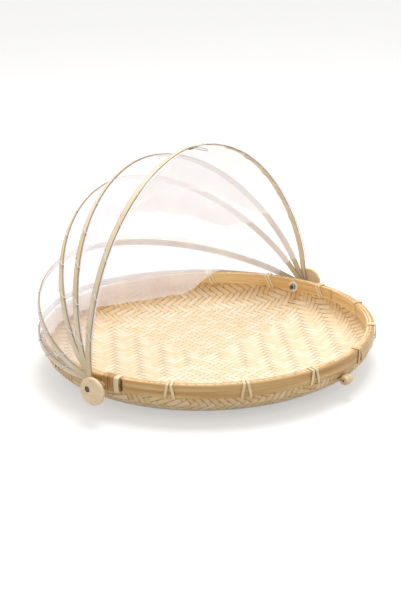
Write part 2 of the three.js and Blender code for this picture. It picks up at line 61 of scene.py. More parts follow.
HOOP_SPAN = RIM_RADIUS + 4.4 * mm
HOOP_HEIGHT = HOOP_SPAN + 3.2 * mm
HOOP_PITCH = 2.9 * mm
HOOP_WIDTH = 5.5 * mm
HOOP_THICKNESS = 1.5 * mm
HOOP_ROUND_POWER = 1.9
HOOP_DRAW_IN = 1.9 * mm
HOOP_DRAW_IN_FROM = 10 * mm
HOOP_DRAW_IN_TO = 40 * mm
HOOP_NAMES = ["rear", "fourth", "third", "second", "front"]
HOOP_ANGLES = [3, 18.3, 50.8, 66.3, 85.6]
FRONT = len(HOOP_NAMES) - 1

MAT_OUTER = RIM_RADIUS - OUTER_STRIP_THICKNESS - SEAT_GAP
MAT_INNER = MAT_OUTER - MAT_THICKNESS
INNER_STRIP_INNER = MAT_INNER - SEAT_GAP - INNER_STRIP_THICKNESS

# Cane bindings
CANE_THICKNESS = 0.7 * mm
CANE_CLEAR = SEAT_GAP + CANE_THICKNESS / 2
CANE_BEND = 1.1 * mm
CANE_CROWN = 0.25 * mm
LASHING_PLACES = 15
LASHING_WIDTH = 2.6 * mm
LASHING_TOP_GAP = 1 * mm
LASHING_FOOT_SPREAD = 8 * mm
LASHING_BOW = 0.3 * mm
WRAP_OFFSETS = [5 * mm, 11 * mm, 17 * mm]
WRAP_WIDTH = 5.6 * mm
WRAP_BOW = 0.9 * mm
# The first two wraps take a darker copy of the cane: painted shade where the left disc shades them
WRAP_MATERIALS = ["cane_with_painted_shade", "cane_with_painted_shade", "cane"]

# Lacing thread and net
LACE_DIAMETER = 0.5 * mm
LACE_GAP = 0.1 * mm
LACE_PITCH = 35 * mm
LACE_CROSSING = 10.5 * mm
LACE_SIDE_RUN = 1 * mm
NET_THICKNESS = 0.5 * mm
NET_EDGE = HOOP_WIDTH / 2 + LACE_GAP + LACE_DIAMETER + SEAT_GAP
NET_START = 26 * mm
HEM_WIDTH = 1.8 * mm
NET_TAUT_ANGLE = math.radians(43.5)
FOLD_SLACK_SHARE = 0.85
FOLD_DEPTH_SHARE = 0.31
FOLD_ROUND_POWER = 1.4
FOLD_LEAN_SHARE = 0.52
DROOP_SHARE = 0.96
DROOP_POWER = 4.4
FOLD_START = 55 * mm
FOLD_EASE = 67 * mm

# Bead, tab and loop
BEAD_HEIGHT = 20 * mm
BEAD_TURN = -11 * mm / RIM_RADIUS
BEAD_RADIUS = 5 * mm
BEAD_LENGTH = 10 * mm
CORD_DIAMETER = 0.9 * mm
TAB_LENGTH = 14 * mm
TAB_WIDTH = 2.2 * mm
TAB_THICKNESS = 1.6 * mm
LOOP_LENGTH = 15 * mm
LOOP_WIDTH = 6 * mm
LOOP_DROOP = 2 * mm

# The camera's fit to the photograph
FOCAL_PIXELS = 1343.4
LONG_SIDE_PIXELS = 601
SENSOR_WIDTH = 36
SHIFT_PIXELS = 7
CAMERA_DISTANCE = 1300 * mm
CAMERA_AZIMUTH = math.radians(-53.02)
CAMERA_ELEVATION = math.radians(19.42)
CAMERA_ROLL = math.radians(-1.59)
LOOK_RIGHT = -6.94 * mm
LOOK_UP = 14.29 * mm


# Node materials. Most of a noise lies within NOISE_SPAN and nearly all of it within WHOLE_SPAN,
# and a pattern hardly changes over a size of UNCHANGING. Patterns too fine for the picture are
# drawn coarser than life, so that they show from close by
SMOOTH = {"interpolation_type": "SMOOTHSTEP"}
COLOURS = {"data_type": "RGBA"}
NOISE_SPAN = (0.3, 0.7)
WHOLE_SPAN = (0.2, 0.8)
SOFT_DETAIL = 2.0
FINE_DETAIL = 3.0
UNCHANGING = 1000 * mm
FIBRE_TO = 0.8


def srgb(code):
    """The linear colour of a hex code such as e8d2a4."""
    parts = [int(code[k : k + 2], 16) / 255 for k in (0, 2, 4)]
    linear = [c / 12.92 if c <= 0.04045 else ((c + 0.055) / 1.055) ** 2.4 for c in parts]
    return (*linear, 1)


def add_node(tree, kind, *values, named=None, **settings):
    """A new node with its settings made and its inputs set or linked, in order or by name."""
    node = tree.nodes.new(f"ShaderNode{kind}")
    for name, setting in settings.items():
        setattr(node, name, setting)
    in_order = zip([socket for socket in node.inputs if socket.enabled], values)
    by_name = [(node.inputs[name], value) for name, value in (named or {}).items()]
    for socket, value in (*in_order, *by_name):
        if isinstance(value, bpy.types.Node):
            value = next(output for output in value.outputs if output.enabled)
        if isinstance(value, bpy.types.NodeSocket):
            tree.links.new(value, socket)
        else:
            socket.default_value = value
    return node


def new_material(name):
    """An empty material, and the function that adds nodes to it."""
    material = bpy.data.materials.new(name)
    material.use_nodes = True
    material.node_tree.nodes.clear()
    return material, partial(add_node, material.node_tree)


def finish_material(add, inputs, height=None, depth=0.0):
    """Ends a material with its shader's inputs and, where given, relief of that depth."""
    if height is not None:
        relief = add("Bump", named={"Height": height, "Distance": depth})
        inputs = {**inputs, "Normal": relief}
    add("OutputMaterial", add("BsdfPrincipled", named=inputs))


def axis_distance(add, x, y):
    return add("VectorMath", add("CombineXYZ", x, y, 0.0), operation="LENGTH")


def rim_place(add):
    """Place as length round the rim, distance from the centre and height."""
    x, y, z = add("SeparateXYZ", add("TexCoord").outputs["Object"]).outputs
    turn = add("Math", y, x, operation="ARCTAN2")
    around = add("Math", turn, RIM_RADIUS, operation="MULTIPLY")
    return around, axis_distance(add, x, y), z


def fibres(add, place, sizes, detail=SOFT_DETAIL):
    """Noise drawn out into fibres, with its patch sizes along the three parts of the place."""
    parts = [add("Math", part, size, operation="DIVIDE") for part, size in zip(place, sizes)]
    return add("TexNoise", add("CombineXYZ", *parts), 1.0, detail)


def fibrous_colour(add, tone, fibre, colours, fibre_from, fibre_share):
    """Colour that drifts from pale to warm with the tone and is dark along some fibres."""
    pale, warm, dark = (srgb(code) for code in colours)
    drift = add("MapRange", tone, *NOISE_SPAN, **SMOOTH)
    ground = add("Mix", drift, pale, warm, **COLOURS)
    lines = add("MapRange", fibre, fibre_from, FIBRE_TO, 0.0, fibre_share, **SMOOTH)
    return add("Mix", lines, ground, dark, **COLOURS)


# Woven bamboo mat: thin raw splits of the culm, laid over three and under three in a twill that
# turns at the middle. The eye sees pale cream splits, each of its own tone, in squares round the
# centre, painted shadow in small openings where a split dives under, and painted warm shade on
# the wall, deeper on the splits that run along x
SPLIT_PITCH = 5.5 * mm
FLOAT_CELLS = 3
HALF_CELL = 0.5
UNROLL = 60 * mm
WEAVE_TURN = math.radians(-3.5)
WEAVE_RELIEF = 0.9 * mm
SPLIT_CROWN_POWER = 4.0
SPLIT_EDGE_SHARE = 0.5
FLOAT_ARCH_POWER = 0.6
FLOAT_END_SHARE = 0.15
SIDE_GAP_SHARE = 0.62
DIVE_SHARE = 0.55
FLOOR_GAP_SHADOW_SHARE = 0.1
WALL_GAP_SHADOW_SHARE = 0.34
SPLIT_FIBRE_LENGTH = 25 * mm
FIBRES_TO_SPLIT = 7
SPLIT_FIBRE_SPAN = (0.35, 0.75)
SPLIT_FIBRE_SHARE = 0.4
SPLIT_ROUGHNESS = (0.45, 0.65)
COLUMN_TONES_FROM = 201
WALL_SHADE_FROM = 3 * mm
WALL_SHADE_SHARE = 0.55
GOLDEN_SHADE_SHARE = 0.3
SEAM_DEPTH = 1.5 * mm
SEAM_SHADE_SHARE = 0.85


def unrolled_place(add, place, z, radius):
    """Place in split widths from the mat's middle lines, as if its wall were laid flat."""
    low = add("Math", z, WALL_RISE, operation="MINIMUM")
    curved = add("Math", add("Math", low, low, operation="MULTIPLY"), UNROLL, operation="DIVIDE")
    above = add("Math", z, WALL_RISE, operation="SUBTRACT")
    straight = add("Math", above, 0.0, operation="MAXIMUM")
    wall_length = add("Math", curved, straight, operation="ADD")
    flat_radius = add("Math", radius, wall_length, operation="ADD")
    least_radius = add("Math", radius, SPLIT_PITCH, operation="MAXIMUM")
    stretch = add("Math", flat_radius, least_radius, operation="DIVIDE")
    cells = add("Math", stretch, SPLIT_PITCH, operation="DIVIDE")
    turned = add("VectorRotate", place, (0, 0, 0), -WEAVE_TURN, rotation_type="Z_AXIS")
    return add("VectorMath", turned, cells, operation="SCALE")


def twill(add, lines, counts):
    """Whether the split along y lies on top, and the place along and across the upper one."""
    column, row, _ = add("SeparateXYZ", counts).outputs
    parts = add("VectorMath", lines, operation="FRACTION")
    column_part, row_part, _ = add("SeparateXYZ", parts).outputs
    diagonal = add("Math", column, row, operation="ADD")
    step = add("Math", diagonal, float(2 * FLOAT_CELLS), operation="MODULO")
    under = add("Math", step, FLOAT_CELLS - HALF_CELL, operation="GREATER_THAN")
    passed = add("Math", under, float(FLOAT_CELLS), operation="MULTIPLY")
    start = add("Math", step, passed, operation="SUBTRACT")
    run = add("Math", start, add("Mix", under, column_part, row_part), operation="ADD")
    share = add("Math", run, float(FLOAT_CELLS), operation="DIVIDE")
    twice = add("Math", add("Mix", under, row_part, column_part), 2.0, operation="MULTIPLY")
    offset = add("Math", add("Math", twice, 1.0, operation="SUBTRACT"), operation="ABSOLUTE")
    return under, share, offset


def split_relief(add, share, offset):
    """Height of the splits: each crowned across, each float arched along."""
    fall = add("Math", offset, SPLIT_CROWN_POWER, operation="POWER")
    crown = add("Math", 1.0, fall, operation="SUBTRACT")
    wave = add("Math", add("Math", share, math.pi, operation="MULTIPLY"), operation="SINE")
    arch = add("Math", add("Math", wave, 0.0, operation="MAXIMUM"), FLOAT_ARCH_POWER, operation="POWER")
    crown_height = add("MapRange", crown, 0.0, 1.0, SPLIT_EDGE_SHARE, 1.0, **SMOOTH)
    arch_height = add("MapRange", arch, 0.0, 1.0, FLOAT_END_SHARE, 1.0, **SMOOTH)
    return add("Math", crown_height, arch_height, operation="MULTIPLY")


def split_tone(add, counts, signs, under):
    """A random tone for each split, the same along its whole length."""
    numbered = add("VectorMath", counts, (COLUMN_TONES_FROM, 1, 0), operation="ADD")
    numbers = add("VectorMath", numbered, signs, operation="MULTIPLY")
    column_number, row_number, _ = add("SeparateXYZ", numbers).outputs
    number = add("Mix", under, row_number, column_number)
    return add("TexWhiteNoise", number, noise_dimensions="1D")


def split_fibres(add, place, lines, under):
    """Fibres along each split."""
    x, y, z = add("SeparateXYZ", place).outputs
    across, along, _ = add("SeparateXYZ", lines).outputs
    fibre_width = 1 / FIBRES_TO_SPLIT
    sizes_x = (SPLIT_FIBRE_LENGTH, fibre_width, UNCHANGING)
    sizes_y = (fibre_width, SPLIT_FIBRE_LENGTH, UNCHANGING)
    fibres_x = fibres(add, (x, along, z), sizes_x)
    fibres_y = fibres(add, (across, y, z), sizes_y)
    return add("Mix", under, fibres_x, fibres_y)


def twill_gap_shadow(add, signs, under, share, offset, wall):
    """Painted shadow in the openings beside each split, darkest near the end of a float on the side where
    they show.
    """
    sign_x, sign_y, _ = add("SeparateXYZ", signs).outputs
    towards = add("Mix", under, sign_x, sign_y)
    centred = add("Math", share, 0.5, operation="SUBTRACT")
    end_share = add("Math", add("Math", centred, towards, operation="MULTIPLY"), 0.5, operation="ADD")
    end_shadow = add("MapRange", end_share, DIVE_SHARE, 1.0, **SMOOTH)
    faint = add("MapRange", wall, 0.0, 1.0, FLOOR_GAP_SHADOW_SHARE, WALL_GAP_SHADOW_SHARE, **SMOOTH)
    edge = add("MapRange", offset, SIDE_GAP_SHARE, 1.0, **SMOOTH)
    return add("Math", edge, add("Math", end_shadow, faint, operation="MAXIMUM"), operation="MULTIPLY")


def seam_shade(add, radius, z):
    """Deep shade on the mat's outer face behind the rim strip, seen where its ends stand apart."""
    outside = add("Math", radius, MAT_OUTER - MAT_THICKNESS / 2, operation="GREATER_THAN")
    above = add("Math", z, TRAY_HEIGHT - OUTER_STRIP_WIDTH, operation="GREATER_THAN")
    below = add("Math", z, TRAY_HEIGHT - SEAM_DEPTH, operation="LESS_THAN")
    behind = add("Math", add("Math", above, below, operation="MULTIPLY"), outside, operation="MULTIPLY")
    return add("Math", behind, SEAM_SHADE_SHARE, operation="MULTIPLY")


def woven_material():
    material, add = new_material("woven_bamboo_mat")
    place = add("TexCoord").outputs["Object"]
    x, y, z = add("SeparateXYZ", place).outputs
    radius = axis_distance(add, x, y)
    signed = unrolled_place(add, place, z, radius)
    signs = add("VectorMath", signed, operation="SIGN")
    mirrored = add("VectorMath", signed, operation="ABSOLUTE")
    lines = add("VectorMath", mirrored, (HALF_CELL, HALF_CELL, 0), operation="ADD")
    counts = add("VectorMath", lines, operation="FLOOR")
    under, share, offset = twill(add, lines, counts)
    fibre = split_fibres(add, place, lines, under)
    wall = add("MapRange", z, WALL_SHADE_FROM, WALL_RISE, **SMOOTH)

    tone = add("MapRange", split_tone(add, counts, signs, under), **SMOOTH)
    colour = add("Mix", tone, srgb("f9ead2"), srgb("f0dab4"), **COLOURS)
    fibre_share = add("MapRange", fibre, *SPLIT_FIBRE_SPAN, 0.0, SPLIT_FIBRE_SHARE, **SMOOTH)
    colour = add("Mix", fibre_share, colour, srgb("e6ca99"), **COLOURS)
    # Painted warm shade on the wall, deeper on the wall's splits that run along x
    warm = add("Math", wall, WALL_SHADE_SHARE, operation="MULTIPLY")
    colour = add("Mix", warm, colour, srgb("f4d69c"), blend_type="MULTIPLY", **COLOURS)
    over = add("Math", 1.0, under, operation="SUBTRACT")
    golden_shade = add("Math", add("Math", wall, over, operation="MULTIPLY"), GOLDEN_SHADE_SHARE, operation="MULTIPLY")
    colour = add("Mix", golden_shade, colour, srgb("cf9f5c"), **COLOURS)
    # Painted shadow in the small openings between the splits
    gap_shadow = twill_gap_shadow(add, signs, under, share, offset, wall)
    colour = add("Mix", gap_shadow, colour, srgb("41270f"), **COLOURS)
    colour = add("Mix", seam_shade(add, radius, z), colour, srgb("3a2412"), **COLOURS)
    roughness = add("MapRange", fibre, *WHOLE_SPAN, *SPLIT_ROUGHNESS, **SMOOTH)
    height = split_relief(add, share, offset)
    finish_material(add, {"Base Color": colour, "Roughness": roughness}, height, WEAVE_RELIEF)
    return material


# Rim strips of split bamboo, scraped smooth with the skin left on: long straight fibres in
# golden tones, with the faint gloss of the skin
STRIP_FIBRE_LENGTH = 83.3 * mm
STRIP_FIBRE_WIDTH = 0.625 * mm
STRIP_BAND_LENGTH = 111 * mm
STRIP_BAND_WIDTH = 4.55 * mm
STRIP_RELIEF = 0.15 * mm
STRIP_ROUGHNESS = (0.32, 0.5)
STRIP_COAT = 0.15


def strip_material(name, *colours):
    """Strip whose colours are given as pale, warm and dark."""
    material, add = new_material(name)
    around, radius, z = rim_place(add)
    fibre_sizes = (STRIP_FIBRE_LENGTH, STRIP_FIBRE_WIDTH, STRIP_FIBRE_WIDTH)
    band_sizes = (STRIP_BAND_LENGTH, STRIP_BAND_WIDTH, STRIP_BAND_WIDTH)
    fibre = fibres(add, (around, z, radius), fibre_sizes, FINE_DETAIL)
    tone = fibres(add, (around, z, radius), band_sizes)
    colour = fibrous_colour(add, tone, fibre, colours, fibre_from=0.5, fibre_share=0.6)
    roughness = add("MapRange", fibre, *NOISE_SPAN, *STRIP_ROUGHNESS, **SMOOTH)
    inputs = {"Base Color": colour, "Roughness": roughness, "Coat Weight": STRIP_COAT}
    finish_material(add, inputs, fibre, STRIP_RELIEF)
    return material


# Flat cane bindings, peeled from the vine's skin: pale and glossy, with fine fibres along the
# band, up and over the rim
CANE_FIBRE_WIDTH = 0.588 * mm
CANE_FIBRE_LENGTH = 33.3 * mm
CANE_PATCH = 16.7 * mm
CANE_RELIEF = 0.12 * mm
CANE_ROUGHNESS = (0.3, 0.5)
CANE_COAT = 0.2


def cane_material(name, *colours):
    """Cane whose colours are given as pale, warm and dark."""
    material, add = new_material(name)
    around, radius, z = rim_place(add)
    fibre_sizes = (CANE_FIBRE_WIDTH, CANE_FIBRE_LENGTH, CANE_FIBRE_LENGTH)
    fibre = fibres(add, (around, z, radius), fibre_sizes)
    patch = add("TexNoise", add("TexCoord").outputs["Object"], 1 / CANE_PATCH, SOFT_DETAIL)
    colour = fibrous_colour(add, patch, fibre, colours, fibre_from=0.5, fibre_share=0.5)
    roughness = add("MapRange", fibre, *NOISE_SPAN, *CANE_ROUGHNESS, **SMOOTH)
    inputs = {"Base Color": colour, "Roughness": roughness, "Coat Weight": CANE_COAT}
    finish_material(add, inputs, fibre, CANE_RELIEF)
    return material


# Hoops of split bamboo, bent and rubbed smooth: pale khaki, with fibres round the hoop and
# painted shade along both edges
HOOP_FIBRE_LENGTH = 71.4 * mm
HOOP_FIBRE_WIDTH = 0.667 * mm
HOOP_FIBRE_DEPTH = 16.7 * mm
HOOP_PATCH = 62.5 * mm
HOOP_EDGE_SHADE_FROM = 0.38 * HOOP_WIDTH
HOOP_EDGE_SHADE_SHARE = 0.7
HOOP_RELIEF = 0.15 * mm
HOOP_ROUGHNESS = (0.36, 0.55)
HOOP_COAT = 0.1
HOOP_COLOURS = ("eedfc2", "dfc8a0", "b3946a")


def hoop_material(name, angle):
    """Hoop at its angle at rest, which also picks its own stretch of the patches."""
    material, add = new_material(f"split_bamboo_hoop_{name}")
    place = add("TexCoord").outputs["Object"]
    centred = add("VectorMath", place, (0, 0, HINGE_HEIGHT), operation="SUBTRACT")
    turned = add("Mapping", named={"Vector": centred, "Rotation": (-angle, 0, 0)})
    x, y, across = add("SeparateXYZ", turned).outputs
    turn = add("Math", y, x, operation="ARCTAN2")
    around = add("Math", turn, HOOP_HEIGHT, operation="MULTIPLY")
    fibre_sizes = (HOOP_FIBRE_LENGTH, HOOP_FIBRE_WIDTH, HOOP_FIBRE_DEPTH)
    fibre = fibres(add, (around, across, axis_distance(add, x, y)), fibre_sizes, FINE_DETAIL)
    patch = fibres(add, (around, across, angle), (HOOP_PATCH, UNCHANGING, UNCHANGING))
    colour = fibrous_colour(add, patch, fibre, HOOP_COLOURS, fibre_from=0.45, fibre_share=0.5)
    # Painted shade along both edges of the hoop, where its sides turn away from the light
    from_middle = add("Math", across, operation="ABSOLUTE")
    edge = add("MapRange", from_middle, HOOP_EDGE_SHADE_FROM, HOOP_WIDTH / 2, **SMOOTH)
    edge_shade_share = add("Math", edge, HOOP_EDGE_SHADE_SHARE, operation="MULTIPLY")
    colour = add("Mix", edge_shade_share, colour, srgb("806546"), **COLOURS)
    roughness = add("MapRange", fibre, *NOISE_SPAN, *HOOP_ROUGHNESS, **SMOOTH)
    inputs = {"Base Color": colour, "Roughness": roughness, "Coat Weight": HOOP_COAT}
    finish_material(add, inputs, fibre, HOOP_RELIEF)
    return material


# Pale close-grained wood, turned and sanded: soft grain lines, fine pores and no polish. The
# pores are drawn a few times their real size, so that they show from close by
GRAIN_SIZES = (3.33 * mm, 11.1 * mm, 1.11 * mm)
GRAIN_SPAN = (0.35, 0.7)
GRAIN_RELIEF = 0.08 * mm
PORE_SIZE = 0.385 * mm
PORE_DETAIL = 1.0
PORE_SPAN = (0.6, 0.8)
PORE_SHARE = 0.4
WOOD_ROUGHNESS = (0.4, 0.6)


def wood_material(name, pale, dark):
    material, add = new_material(name)
    place = add("TexCoord").outputs["Object"]
    grain = fibres(add, add("SeparateXYZ", place).outputs, GRAIN_SIZES, FINE_DETAIL)
    pores = add("TexNoise", place, 1 / PORE_SIZE, PORE_DETAIL)
    grain_share = add("MapRange", grain, *GRAIN_SPAN, **SMOOTH)
    colour = add("Mix", grain_share, srgb(pale), srgb(dark), **COLOURS)
    pore_share = add("MapRange", pores, *PORE_SPAN, 0.0, PORE_SHARE, **SMOOTH)
    colour = add("Mix", pore_share, colour, srgb("a57c45"), **COLOURS)
    roughness = add("MapRange", grain, *NOISE_SPAN, *WOOD_ROUGHNESS, **SMOOTH)
    finish_material(add, {"Base Color": colour, "Roughness": roughness}, grain, GRAIN_RELIEF)
    return material


# Knotted polyester net: soft slanting threads about a millimetre apart, which blur to a white
# haze from a step away and to plain white where the cloth is gathered. Light scattered on through
# the white threads keeps its shadow weak
NET_CELL = 1.1 * mm
NET_THREAD_SHARE = 0.16
NET_GLOW_SHARE = 0.75
NET_CLOUD = 40 * mm
NET_ROUGHNESS = 0.85
NET_SHEEN = 0.4


def net_material(name, least, most):
    """Net whose cover is least in the middle of its cells and most on its threads."""
    material, add = new_material(name)
    place = add("TexCoord").outputs["UV"]
    u, v, _ = add("SeparateXYZ", add("VectorMath", place, 1 / NET_CELL, operation="SCALE")).outputs
    distances = []
    for operation in ("ADD", "SUBTRACT"):
        line = add("Math", add("Math", u, v, operation=operation), operation="FRACT")
        from_middle = add("Math", line, 0.5, operation="SUBTRACT")
        distances.append(add("Math", from_middle, operation="ABSOLUTE"))
    nearest = add("Math", *distances, operation="MAXIMUM")
    thread = add("MapRange", nearest, 0.5 - NET_THREAD_SHARE, 0.5, **SMOOTH)
    cover = add("MapRange", thread, 0.0, 1.0, least, most, **SMOOTH)
    shadow = add("LightPath").outputs["Is Shadow Ray"]
    passed = add("Math", shadow, NET_GLOW_SHARE, operation="MULTIPLY")
    kept = add("Math", 1.0, passed, operation="SUBTRACT")
    alpha = add("Math", cover, kept, operation="MULTIPLY")
    cloud = add("TexNoise", place, 1 / NET_CLOUD, SOFT_DETAIL)
    cloud_share = add("MapRange", cloud, *NOISE_SPAN, **SMOOTH)
    colour = add("Mix", cloud_share, srgb("ffffff"), srgb("f3eef8"), **COLOURS)
    inputs = {"Base Color": colour, "Roughness": NET_ROUGHNESS, "Alpha": alpha, "Sheen Weight": NET_SHEEN}
    finish_material(add, inputs)
    return material


# Spun thread, cord and tape: strands twisted together, so matt, with slanting light and dark
# turns and a little fluff
FLUFF_SIZE = 0.333 * mm
FLUFF_SHARE = 0.3
TWIST_RELIEF = 0.08 * mm
TWIST_ROUGHNESS = 0.8
THREAD_TWIST = 0.6 * mm
CORD_TWIST = 1.1 * mm


def twisted_material(name, light, dark, pitch):
    material, add = new_material(name)
    place = add("TexCoord").outputs["Object"]
    x, y, z = add("SeparateXYZ", place).outputs
    slant = add("Math", add("Math", x, y, operation="ADD"), z, operation="ADD")
    turn = add("Math", slant, 2 * math.pi / pitch, operation="MULTIPLY")
    wave = add("Math", turn, operation="SINE")
    fluff = add("TexNoise", place, 1 / FLUFF_SIZE, SOFT_DETAIL)
    strand_share = add("MapRange", wave, -1.0, 1.0, **SMOOTH)
    colour = add("Mix", strand_share, srgb(dark), srgb(light), **COLOURS)
    fluff_share = add("Math", fluff, FLUFF_SHARE, operation="MULTIPLY")
    colour = add("Mix", fluff_share, colour, srgb(light), **COLOURS)
    finish_material(add, {"Base Color": colour, "Roughness": TWIST_ROUGHNESS}, wave, TWIST_RELIEF)
    return material


# Zinc-plated steel of bolts and nuts: grey metal with fine scratches, drawn wider than real ones
# so that they show, and duller in patches where hands have rubbed it
SCRATCH_SIZES = (3.33 * mm, 0.25 * mm, 1.11 * mm)
STEEL_PATCH = 1.43 * mm
STEEL_RELIEF = 0.03 * mm
STEEL_ROUGHNESS = (0.25, 0.5)


def steel_material(name, pale, dark):
    material, add = new_material(name)
    place = add("TexCoord").outputs["Object"]
    scratch = fibres(add, add("SeparateXYZ", place).outputs, SCRATCH_SIZES)
    patch = add("TexNoise", place, 1 / STEEL_PATCH, SOFT_DETAIL)
    colour = add("Mix", patch, srgb(pale), srgb(dark), **COLOURS)
    roughness = add("MapRange", patch, *WHOLE_SPAN, *STEEL_ROUGHNESS, **SMOOTH)
    inputs = {"Base Color": colour, "Roughness": roughness, "Metallic": 1.0}
    finish_material(add, inputs, scratch, STEEL_RELIEF)
    return material


# Moulded nylon washer: milky white, slightly glossy, with the mould's soft unevenness
NYLON_PATCH = 2 * mm
NYLON_RELIEF = 0.03 * mm
NYLON_ROUGHNESS = 0.4


def washer_material():
    material, add = new_material("moulded_nylon_washer")
    patch = add("TexNoise", add("TexCoord").outputs["Object"], 1 / NYLON_PATCH, SOFT_DETAIL)
    colour = add("Mix", patch, srgb("f8f6f2"), srgb("eceae4"), **COLOURS)
    finish_material(add, {"Base Color": colour, "Roughness": NYLON_ROUGHNESS}, patch, NYLON_RELIEF)
    return material


MATERIALS = {
    "mat": woven_material(),
    # The outer strip is darker than the inner one: its own bamboo colour with painted shade on the tray's
    # front outside
    "outer_strip": strip_material("scraped_bamboo_outer_strip_with_painted_shade", "dfbb7c", "bd8d4e", "84592a"),
    "inner_strip": strip_material("scraped_bamboo_inner_strip", "efd29c", "dcb070", "a8743c"),
    "cane": cane_material("peeled_cane", "f4e3bd", "e6c88f", "b48a50"),
    # A darker copy of the peeled cane: painted shade for the wraps beside the left disc
    "cane_with_painted_shade": cane_material("peeled_cane_with_painted_shade", "c79a5c", "a87740", "7b5228"),
    "disc": wood_material("turned_wood_disc", "f6dfbb", "ecd0a3"),
    "bead": wood_material("turned_wood_bead", "f0dcb5", "e0c08a"),
    "net": net_material("knotted_net", least=0.16, most=0.8),
    "inner_net": net_material("knotted_net_behind_hoops", least=0.9, most=0.98),
    "sheer_net": net_material("knotted_net_behind_front_hoop", least=0.1, most=0.35),
    "hem": net_material("knotted_net_hem", least=0.3, most=0.55),
    "thread": twisted_material("spun_white_thread", "ffffff", "f3efe6", THREAD_TWIST),
    "cord": twisted_material("twisted_jute_cord", "c8ab80", "93734a", CORD_TWIST),
    "tab": twisted_material("twisted_dark_tape", "8d7a66", "6b5a49", CORD_TWIST),
    "loop": twisted_material("spun_pale_elastic", "e6e1de", "c6bfbb", CORD_TWIST),
    "steel": steel_material("zinc_plated_steel", "bdbab6", "96918b"),
    "dark_steel": steel_material("darkened_zinc_plated_steel", "7c746c", "453d38"),
    "washer": washer_material(),
}
for hoop, degrees in zip(HOOP_NAMES, HOOP_ANGLES):
    MATERIALS[f"hoop_{hoop}"] = hoop_material(hoop, math.radians(degrees))


# Meshes
def mesh_object(name, points, faces, material, uvs=None):
    """A smooth mesh object; uvs holds one pair per point."""
    mesh = bpy.data.meshes.new(name)
    mesh.from_pydata(points, [], faces)
    mesh.polygons.foreach_set("use_smooth", [True] * len(mesh.polygons))
    if uvs:
        layer = mesh.uv_layers.new(name="UVMap")
        for loop in mesh.loops:
            layer.data[loop.index].uv = uvs[loop.vertex_index]
    mesh.materials.append(MATERIALS[material])
    mesh.update()
    made = bpy.data.objects.new(name, mesh)
    bpy.context.scene.collection.objects.link(made)
    return made


def loft(name, rings, material, closed=False):
    """A tube or band through rings of points, capped at its ends unless it is closed."""
    count = len(rings[0])
    spans = len(rings) if closed else len(rings) - 1
    faces = []
    for ring in range(spans):
        here, there = ring * count, (ring + 1) % len(rings) * count
        for k in range(count):
            step = (k + 1) % count
            faces.append((here + k, here + step, there + step, there + k))
    if not closed:
        faces.append(tuple(reversed(range(count))))
        faces.append(tuple(range(spans * count, spans * count + count)))
    return mesh_object(name, [p for ring in rings for p in ring], faces, material)


def tube(name, path, radius, sides, material, closed=False):
    """A round tube along a path, its rings turned as little as possible from one to the next."""
    count = len(path)
    rings = []
    side = None
    for k, point in enumerate(path):
        before = path[k - 1] if closed or k > 0 else point
        after = path[(k + 1) % count] if closed or k < count - 1 else point
        run = (after - before).normalized()
        if side is None:
            side = run.orthogonal()
        side = (side - run * side.dot(run)).normalized()
        other = run.cross(side)
        turns = [2 * math.pi * s / sides for s in range(sides)]
        rings.append([point + (side * math.cos(a) + other * math.sin(a)) * radius for a in turns])
    return loft(name, rings, material, closed)


def smooth_path(points, steps):
    """A Catmull-Rom curve through points."""
    last = len(points) - 1
    path = []
    for k in range(last):
        a, b, c, d = (points[min(max(k + n, 0), last)] for n in (-1, 0, 1, 2))
        for step in range(steps):
            t = step / steps
            path.append(0.5 * (2 * b + (c - a) * t + (2 * a - 5 * b + 4 * c - d) * t**2
                               + (3 * b - a - 3 * c + d) * t**3))
    path.append(points[-1])
    return path


# Hoops: a place in a hoop's own plane, and in the frame. A turn runs from the right foot, at 0,
# over the crown to the left foot, at half a circle
TURN_STEP = 1e-3
LENGTH_STEPS = 720


def smoothstep(value, low, high):
    share = min(max((value - low) / (high - low), 0), 1)
    return share * share * (3 - 2 * share)


def hoop_point(index, turn):
    power = 2 / HOOP_ROUND_POWER
    cosine = math.cos(turn)
    rise = (HOOP_HEIGHT + index * HOOP_PITCH) * max(math.sin(turn), 0) ** power
    span = (HOOP_SPAN + index * HOOP_PITCH) * abs(cosine) ** power
    draw_in = HOOP_DRAW_IN * (1 - smoothstep(rise, HOOP_DRAW_IN_FROM, HOOP_DRAW_IN_TO))
    return Vector((math.copysign(span - draw_in, cosine), rise))


def hoop_normal(index, turn):
    after = hoop_point(index, min(turn + TURN_STEP, math.pi))
    before = hoop_point(index, max(turn - TURN_STEP, 0))
    run = (after - before).normalized()
    return Vector((run.y, -run.x))


def beside_hoop(index, turn, outward, forward):
    """A place off a hoop's middle line, with the hoop still flat."""
    place = hoop_point(index, turn) + hoop_normal(index, turn) * outward
    return Vector((place.x, place.y, forward))


def swung(local, angle):
    return Matrix.Rotation(angle, 3, "X") @ local


def in_frame(local, index):
    return swung(local, math.radians(HOOP_ANGLES[index])) + Vector((0, 0, HINGE_HEIGHT))


def length_table(index):
    """Turns along a hoop, each with its length from the right foot."""
    table = [(0.0, 0.0)]
    for k in range(1, LENGTH_STEPS + 1):
        turn = k / LENGTH_STEPS * math.pi
        step = (hoop_point(index, turn) - hoop_point(index, table[-1][0])).length
        table.append((turn, table[-1][1] + step))
    return table


def turn_at(table, length):
    """The turn at a length along a hoop."""
    k = next((k for k, row in enumerate(table) if row[1] >= length), len(table) - 1)
    k = max(k, 1)
    (turn_a, length_a), (turn_b, length_b) = table[k - 1], table[k]
    return turn_a + (turn_b - turn_a) * (length - length_a) / (length_b - length_a)


